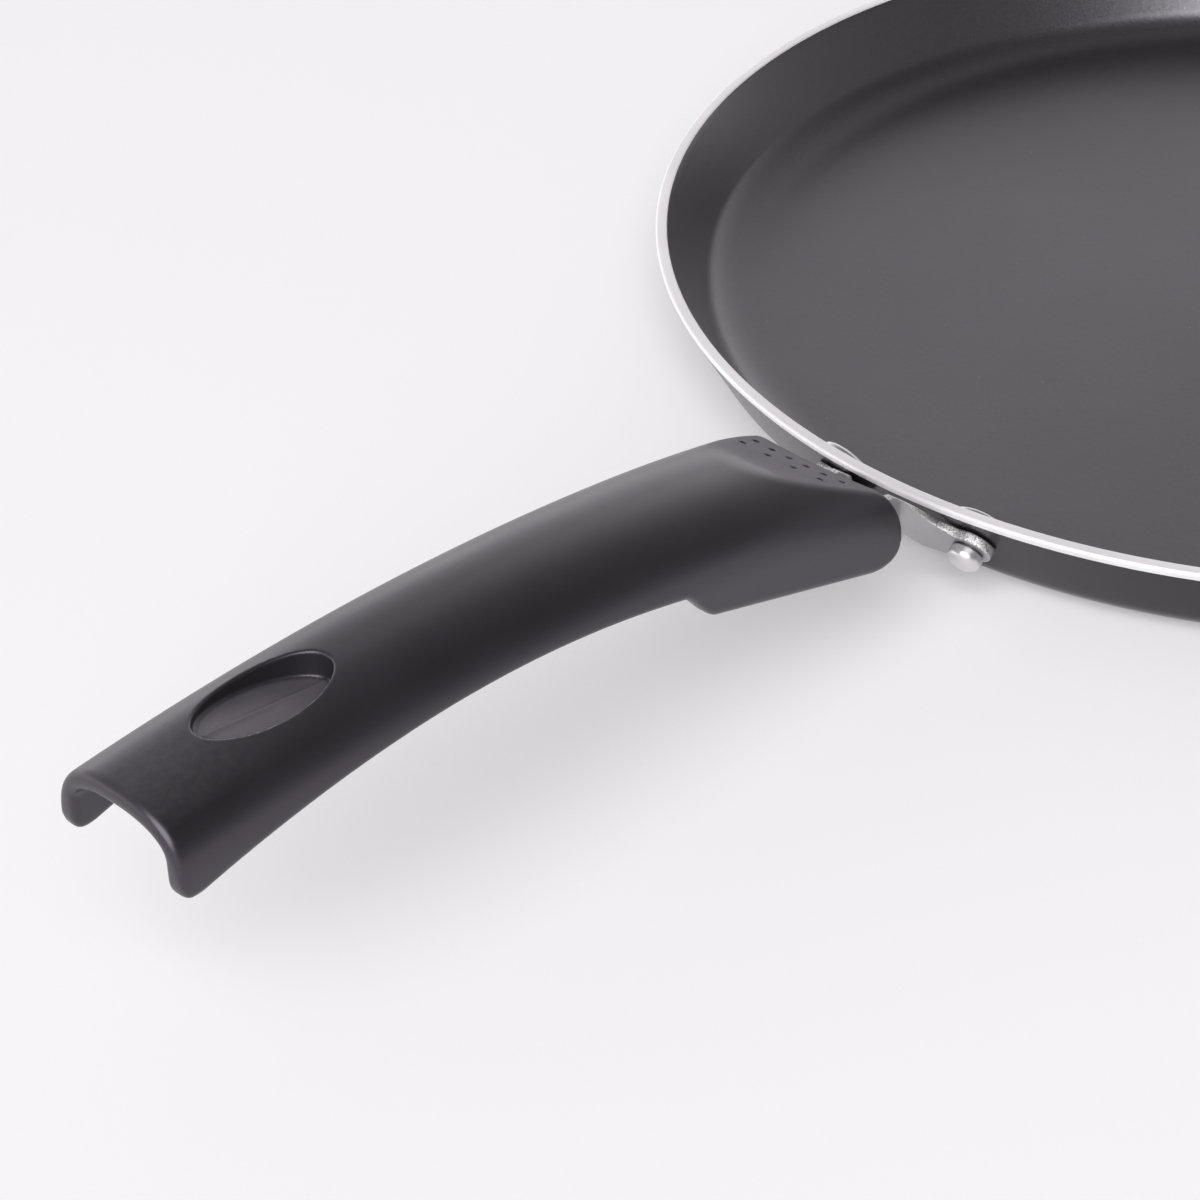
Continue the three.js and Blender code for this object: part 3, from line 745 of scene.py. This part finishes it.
def handle_field(x, y, z):
    body = body_field(x, y, z)
    shell = smax(body, -arch_field(*inner_arch(x), y, z), HOLLOW_EDGE)
    # The pad that closes the recess below
    middle = crown_height(recess_centre)
    pad_depth = RECESS_DEPTH + RECESS_HALF_LENGTH * math.tan(RECESS_TILT) + RECESS_WALL
    pad = smax(oval_field(x - recess_centre, y, RECESS_WALL), middle - pad_depth - z, PAD_EDGE)
    shell = smin(shell, smax(pad, body + INSIDE_DEPTH, INSIDE_EDGE), PAD_FILLET)
    # Boss and ribs for the bracket
    reach, level = screw_place()
    c, s = math.cos(TONGUE_ANGLE), math.sin(TONGUE_ANGLE)
    along = (x - reach) * c + (z - level) * s
    up = -(x - reach) * s + (z - level) * c
    from_axis = np.sqrt(along * along + y * y)
    boss = smax(from_axis - BOSS_RADIUS, FIT_GAP - up, BOSS_EDGE)
    ribs = None
    for fore in (-1, 1):
        rx = reach + fore * RIB_SPACING / 2
        low = tongue_low(rx) + STRAP_HEIGHT / 2
        rib = np.maximum(np.abs(x - rx) - RIB_THICKNESS / 2, low - z)
        rib = np.maximum(rib, leg_outer + FIT_GAP - np.abs(y))
        ribs = rib if ribs is None else np.minimum(ribs, rib)
    inside = smin(boss, ribs, BOSS_EDGE)
    shell = smin(shell, smax(inside, body + INSIDE_DEPTH, INSIDE_EDGE), BOSS_FILLET)
    bore = smax(from_axis - BUSH_RADIUS - FIT_GAP, up - BUSH_LENGTH - 2 * FIT_GAP, BORE_EDGE)
    shell = smax(shell, -bore, BORE_EDGE)
    # Recess
    rib = RECESS_RIB * np.exp(-(y / RECESS_RIB_WIDTH) ** 2)
    fall = (x - recess_centre) * math.tan(RECESS_TILT)
    floor_height = middle - RECESS_DEPTH + fall - RECESS_RIDGE * np.abs(y) + rib
    dish = smax(oval_field(x - recess_centre, y, 0.0), floor_height - z, RECESS_EDGE)
    return smax(shell, -dish, RECESS_EDGE)


def skin(field, xs, ys, zs):
    """Quads around the zero level of a field on a box grid, with one point in each cell that it crosses."""
    grid = field(xs[:, None, None], ys[None, :, None], zs[None, None, :])
    inside = grid < 0
    axes = (xs, ys, zs)
    shape = np.array(grid.shape) - 1
    total = np.zeros((int(np.prod(shape)), 3))
    count = np.zeros(len(total))
    quads = []
    for axis in range(3):
        one, two = (axis + 1) % 3, (axis + 2) % 3
        low = [slice(None)] * 3
        high = [slice(None)] * 3
        low[axis], high[axis] = slice(0, -1), slice(1, None)
        crossed = inside[tuple(low)] != inside[tuple(high)]
        place = np.stack(np.nonzero(crossed), axis=1)
        first = grid[tuple(low)][crossed]
        second = grid[tuple(high)][crossed]
        share = first / (first - second)
        point = np.stack([axes[k][place[:, k]] for k in range(3)], axis=1)
        step = axes[axis][place[:, axis] + 1] - axes[axis][place[:, axis]]
        point[:, axis] += share * step
        corners = []
        for a, b in ((1, 1), (0, 1), (0, 0), (1, 0)):
            cell = place.copy()
            cell[:, one] -= a
            cell[:, two] -= b
            good = np.all((cell >= 0) & (cell < shape), axis=1)
            flat = np.where(good, np.ravel_multi_index(np.clip(cell, 0, shape - 1).T, shape), -1)
            np.add.at(total, flat[good], point[good])
            np.add.at(count, flat[good], 1)
            corners.append(flat)
        quad = np.stack(corners, axis=1)
        quad = np.where((first < 0)[:, None], quad, quad[:, ::-1])
        quads.append(quad[np.all(quad >= 0, axis=1)])
    used = np.nonzero(count)[0]
    number = np.full(len(total), -1)
    number[used] = np.arange(len(used))
    return total[used] / count[used][:, None], number[np.concatenate(quads)]


def settle(field, points, turns=4, reach=0.03, least_slope=0.3, longest=0.2):
    """Moves points onto the zero level and returns them with their normals."""
    for _ in range(turns):
        value = field(*points.T)
        slope = np.stack([(field(*(points + reach * e).T) - field(*(points - reach * e).T)) / (2 * reach)
                          for e in np.eye(3)], axis=1)
        size = np.maximum((slope ** 2).sum(1), least_slope)
        move = slope * (value / size)[:, None]
        length = np.linalg.norm(move, axis=1, keepdims=True)
        points = points - move * np.minimum(1, longest / np.maximum(length, 1e-9))
    return points, slope / np.maximum(np.linalg.norm(slope, axis=1, keepdims=True), 1e-9)


def band_facing(points, normals):
    """How nearly each normal is square to the band, as a cosine."""
    flat = points[:, :2] / np.linalg.norm(points[:, :2], axis=1, keepdims=True)
    inward = (normals[:, :2] * flat).sum(1)
    return normals[:, 2] * math.cos(BAND_ANGLE) - inward * math.sin(BAND_ANGLE)


def matt_share(points, normals):
    """How matt each point of the handle is: the recess's floor and the band are, the rest isn't."""
    x, y, z = points.T
    inside = -oval_field(x - recess_centre, y, 0.0)
    sunk = ease(inside, *MATT_RECESS_INSIDE) * (normals[:, 2] > MATT_RECESS_UPWARD)
    reach = np.hypot(x, y)
    off = np.abs(z - band_height(reach))
    banded = ease(band_facing(points, normals), *MATT_BAND_FACING) * ease(off, *MATT_BAND_OFF)
    return np.maximum(sunk, banded * ease(reach, front + BAND_DEPTH, front + BAND_DEPTH - BAND_FADE))


def handle():
    runs = zip(GRID_STOPS, GRID_STOPS[1:], GRID_STEPS)
    xs = np.concatenate([np.arange(start, stop, step) for start, stop, step in runs])
    half = FRONT_HALF_WIDTH + GRID_MARGIN
    ys = np.linspace(-half, half, GRID_ACROSS)
    zs = np.arange(PAN_HEIGHT - GRID_BELOW, PAN_HEIGHT + CROWN_PEAK_RISE + GRID_MARGIN, GRID_UP)
    points, faces = skin(handle_field, xs, ys, zs)
    points, normals = settle(handle_field, points)
    matt = matt_share(points, normals)
    made = piece("handle_moulding", points, faces.tolist(), [MOULDING], normals=normals, matt=matt)
    return stand_for(made, "handle")


# Bracket

# Sides of a strap's ring that are faces of the strip; the others are its cut edges
STRIP_FACES = (3, 11)


def strap_ring(plan, out, lean, low, high):
    """A rounded rectangle square to the strap's middle line, leaning out with the wall."""
    face = np.array([out[0] * math.cos(lean), out[1] * math.cos(lean), -math.sin(lean)])
    edge = min(STRIP_EDGE, (high - low) * STRIP_EDGE_SHARE)
    ring = []
    half = STRIP / 2
    for cz, ch, start in ((low + edge, half - edge, -90), (high - edge, half - edge, 0),
                          (high - edge, -half + edge, 90), (low + edge, -half + edge, 180)):
        for turn in (0, 30, 60, 90):
            a = math.radians(start + turn)
            z = cz + edge * math.sin(a)
            h = ch + edge * math.cos(a)
            shift = (z - rivet_z) * math.tan(lean)
            ring.append(np.array([plan[0] + out[0] * shift, plan[1] + out[1] * shift, z]) + face * h)
    return ring


def strap_rings():
    """Rings of the +Y strap: around the ear, along the wall, off it in a bend and into the handle."""
    wall_mid = wall_radius(rivet_z) + (FIT_GAP + STRIP / 2) / math.cos(FLARE)
    bend_y = leg_mid + EAR_BEND
    bend_x = math.sqrt((wall_mid + EAR_BEND) ** 2 - bend_y ** 2)
    root_angle = math.atan2(bend_y, bend_x)
    root_x = wall_mid * math.cos(root_angle)
    root_low = PAN_HEIGHT - EAR_ROOT_DROP - STRAP_HEIGHT
    rings = []

    def low_at(x):
        return min(root_low + (x - root_x) * STRAP_RISE, tongue_low(x))

    def on_wall(angle, low, high):
        out = (math.cos(angle), math.sin(angle))
        rings.append(strap_ring((wall_mid * out[0], wall_mid * out[1]), out, FLARE, low, high))

    for turn in np.linspace(math.pi / 2, 0, EAR_END_RINGS + 1)[1:]:
        half = EAR_HALF_HEIGHT * math.cos(turn)
        on_wall(RIVET_ANGLE + EAR_END_REACH * math.sin(turn) / wall_mid, rivet_z - half, rivet_z + half)
    for t in np.linspace(0, 1, EAR_RINGS + 1)[1:]:
        low = (rivet_z - EAR_HALF_HEIGHT) * (1 - t) + root_low * t
        high = (rivet_z + EAR_HALF_HEIGHT) * (1 - t) + (root_low + STRAP_HEIGHT) * t
        on_wall(RIVET_ANGLE + (root_angle - RIVET_ANGLE) * t, low, high)
    for t in np.linspace(0, 1, BEND_RINGS + 1)[1:]:
        a = root_angle + (math.pi / 2 - root_angle) * t
        out = (math.cos(a), math.sin(a))
        plan = (bend_x - EAR_BEND * out[0], bend_y - EAR_BEND * out[1])
        low = low_at(plan[0])
        rings.append(strap_ring(plan, out, FLARE * (1 - t), low, low + STRAP_HEIGHT))
    knee = root_x + (tongue_low(root_x) - root_low) / (STRAP_RISE - math.tan(TONGUE_ANGLE))
    legs = np.linspace(bend_x, knee, LEG_RINGS + 1)[1:]
    tongue = np.linspace(knee, front + TONGUE_REACH, TONGUE_RINGS + 1)[1:]
    for x in [*legs, *tongue]:
        low = low_at(x)
        rings.append(strap_ring((x, leg_mid), (0, 1), 0, low, low + STRAP_HEIGHT))
    return rings


def strap(side):
    rings = strap_rings()
    size = len(rings[0])
    points = np.array([p for ring in rings for p in ring])
    points[:, 1] *= side
    faces, marks = [], []
    for k in range(len(rings) - 1):
        for j in range(size):
            a, b = k * size + j, k * size + (j + 1) % size
            face = [a, b, b + size, a + size]
            faces.append(face if side > 0 else face[::-1])
            marks.append(0 if j in STRIP_FACES else 1)
    first, last = list(range(size)), list(range(len(points) - size, len(points)))
    for ring, flip in ((first, side > 0), (last, side < 0)):
        faces.append(ring[::-1] if flip else ring)
        marks.append(1)
    return piece("strap", points, faces, [ALUMINIUM, SHEARED], marks, SHARP_ANGLE)


def web():
    """The plate that joins the two legs under the handle."""
    start, end = front + WEB_FROM_FRONT, front + TONGUE_REACH - WEB_NUDGE
    thick = STRIP / math.cos(TONGUE_ANGLE)
    wide = leg_outer - WEB_INSET
    corners = [(x, y, tongue_low(x) + dz + WEB_NUDGE) for dz in (0, thick)
               for x, y in ((start, -wide), (end, -wide), (end, wide), (start, wide))]
    faces = [[0, 3, 2, 1], [4, 5, 6, 7], [0, 1, 5, 4], [1, 2, 6, 5], [2, 3, 7, 6], [3, 0, 4, 7]]
    return piece("web", corners, faces, [ALUMINIUM, SHEARED], None, SHARP_ANGLE)


def bracket():
    made = cut(strap(1), strap(-1), "UNION")
    cut(made, web(), "UNION")
    cut_rivet_holes(made, BRACKET_HOLE_SEGMENTS)
    x, z = screw_place()
    place = Matrix.Translation(Vector((x, 0, z)) * MM) @ Matrix.Rotation(-TONGUE_ANGLE, 4, "Y")
    tool = hole(SCREW_RADIUS + FIT_GAP, -STRIP - HOLE_OVERRUN, HOLE_OVERRUN, BRACKET_HOLE_SEGMENTS, place)
    cut(made, tool, "DIFFERENCE")
    made.name = "bracket_strap"
    made.data.set_sharp_from_angle(angle=math.radians(SHARP_ANGLE))
    return stand_for(made, "handle_bracket")


pan()
rivet("rivet_far", -1, "rivet_left")
rivet("rivet_near", 1, "rivet_right")
handle()
bracket()
for name, made in (("threaded_bush", BRASS), ("spring_washer", STEEL), ("handle_screw", STEEL)):
    nodes[name].data.materials.clear()
    nodes[name].data.materials.append(made)


# Stage, light and camera: lengths in metres, but the camera's in millimetres

FLOOR_REACH = 30.0
FLOOR_GAP = 0.0002
FLOOR_COLOUR = (0.95, 0.95, 0.95)
FLOOR_ROUGHNESS = 0.7
FLOOR_SPECULAR = 0.1
FLOOR_GLOW = 0.28
LIGHT_TINT = (1.0, 0.972, 1.0)
SURROUND_LIGHT = 2.0
SURROUND_BANDS = ((0.1, 1.0), (0.34, 0.45), (0.57, 0.26), (0.75, 0.15))
DIM_SIDE = (0.1, 0.95, 0.1)
DIM_SIDE_LIGHT = 0.45
DIM_SIDE_SPAN = (-0.5, 0.4)
SOFTBOX_AIM = (0.12, 0.0, 0.0)
SOFTBOX_DISTANCE = 6.0
CAMERA_PLACE = (573.93, 353.70, 389.88)
CAMERA_AHEAD = (-0.70875, -0.70546, 0)
CAMERA_PITCH = math.radians(35.227)
CAMERA_ROLL = math.radians(2)
CAMERA_LENS = 105
CAMERA_SENSOR = 36


def floor():
    mesh = bpy.data.meshes.new("floor")
    corners = [(-1, -1), (1, -1), (1, 1), (-1, 1)]
    points = [(FLOOR_REACH * x, FLOOR_REACH * y, -FLOOR_GAP) for x, y in corners]
    mesh.from_pydata(points, [], [(0, 1, 2, 3)])
    made = bpy.data.objects.new("floor", mesh)
    bpy.context.scene.collection.objects.link(made)
    paint, tree, shader = material("floor_white")
    shader.inputs["Base Color"].default_value = (*FLOOR_COLOUR, 1)
    shader.inputs["Roughness"].default_value = FLOOR_ROUGHNESS
    shader.inputs["Specular IOR Level"].default_value = FLOOR_SPECULAR
    glow = add(tree, "ShaderNodeEmission", Color=(*LIGHT_TINT, 1), Strength=1.0)
    path = add(tree, "ShaderNodeLightPath")
    seen = add(tree, "ShaderNodeMath", operation="MAXIMUM")
    tree.links.new(path.outputs["Is Camera Ray"], seen.inputs[0])
    tree.links.new(path.outputs["Is Glossy Ray"], seen.inputs[1])
    mix = add(tree, "ShaderNodeMixShader")
    tree.links.new(span(tree, seen.outputs[0], 0, 1, 0, FLOOR_GLOW), mix.inputs["Fac"])
    tree.links.new(shader.outputs["BSDF"], mix.inputs[1])
    tree.links.new(glow.outputs["Emission"], mix.inputs[2])
    tree.links.new(mix.outputs["Shader"], tree.nodes["Material Output"].inputs["Surface"])
    mesh.materials.append(paint)


def world():
    """A white surround that is bright near the floor, dimmer overhead and dimmest on the near side."""
    made = bpy.data.worlds.new("studio")
    bpy.context.scene.world = made
    made.use_nodes = True
    tree = made.node_tree
    background = tree.nodes["Background"]
    place = add(tree, "ShaderNodeTexCoord").outputs["Generated"]
    stops = [(up, grey(share, LIGHT_TINT)) for up, share in SURROUND_BANDS]
    tree.links.new(ramp(tree, split_xyz(tree, place)["Z"], stops), background.inputs["Color"])
    toward = add(tree, "ShaderNodeVectorMath", operation="DOT_PRODUCT")
    toward.inputs[1].default_value = DIM_SIDE
    tree.links.new(place, toward.inputs[0])
    side = span(tree, toward.outputs["Value"], *DIM_SIDE_SPAN, SURROUND_LIGHT, DIM_SIDE_LIGHT)
    tree.links.new(side, background.inputs["Strength"])


def softbox(name, toward, size, watts):
    data = bpy.data.lights.new(name, "AREA")
    data.shape = "DISK"
    data.size = size
    data.energy = watts
    data.color = LIGHT_TINT
    made = bpy.data.objects.new(name, data)
    bpy.context.scene.collection.objects.link(made)
    away = Vector(toward).normalized()
    made.location = Vector(SOFTBOX_AIM) + away * SOFTBOX_DISTANCE
    made.rotation_mode = "QUATERNION"
    made.rotation_quaternion = away.to_track_quat("Z", "Y")


def camera():
    data = bpy.data.cameras.new("camera")
    data.lens = CAMERA_LENS
    data.sensor_width = CAMERA_SENSOR
    made = bpy.data.objects.new("camera", data)
    bpy.context.scene.collection.objects.link(made)
    ahead = Vector(CAMERA_AHEAD)
    right = Vector((ahead.y, -ahead.x, 0))
    look = ahead * math.cos(CAMERA_PITCH) - Vector((0, 0, 1)) * math.sin(CAMERA_PITCH)
    up = right.cross(look)
    x_axis = right * math.cos(CAMERA_ROLL) - up * math.sin(CAMERA_ROLL)
    y_axis = right * math.sin(CAMERA_ROLL) + up * math.cos(CAMERA_ROLL)
    turn = Matrix((x_axis, y_axis, -look)).transposed().to_4x4()
    made.matrix_world = Matrix.Translation(Vector(CAMERA_PLACE) * MM) @ turn
    bpy.context.scene.camera = made


floor()
world()
softbox("softbox_front", toward=(0.69, 0.32, 0.64), size=6.0, watts=405.0)
softbox("softbox_right", toward=(0.36, 0.58, 0.73), size=3.0, watts=25.0)
camera()
bpy.context.scene.view_settings.view_transform = "Standard"
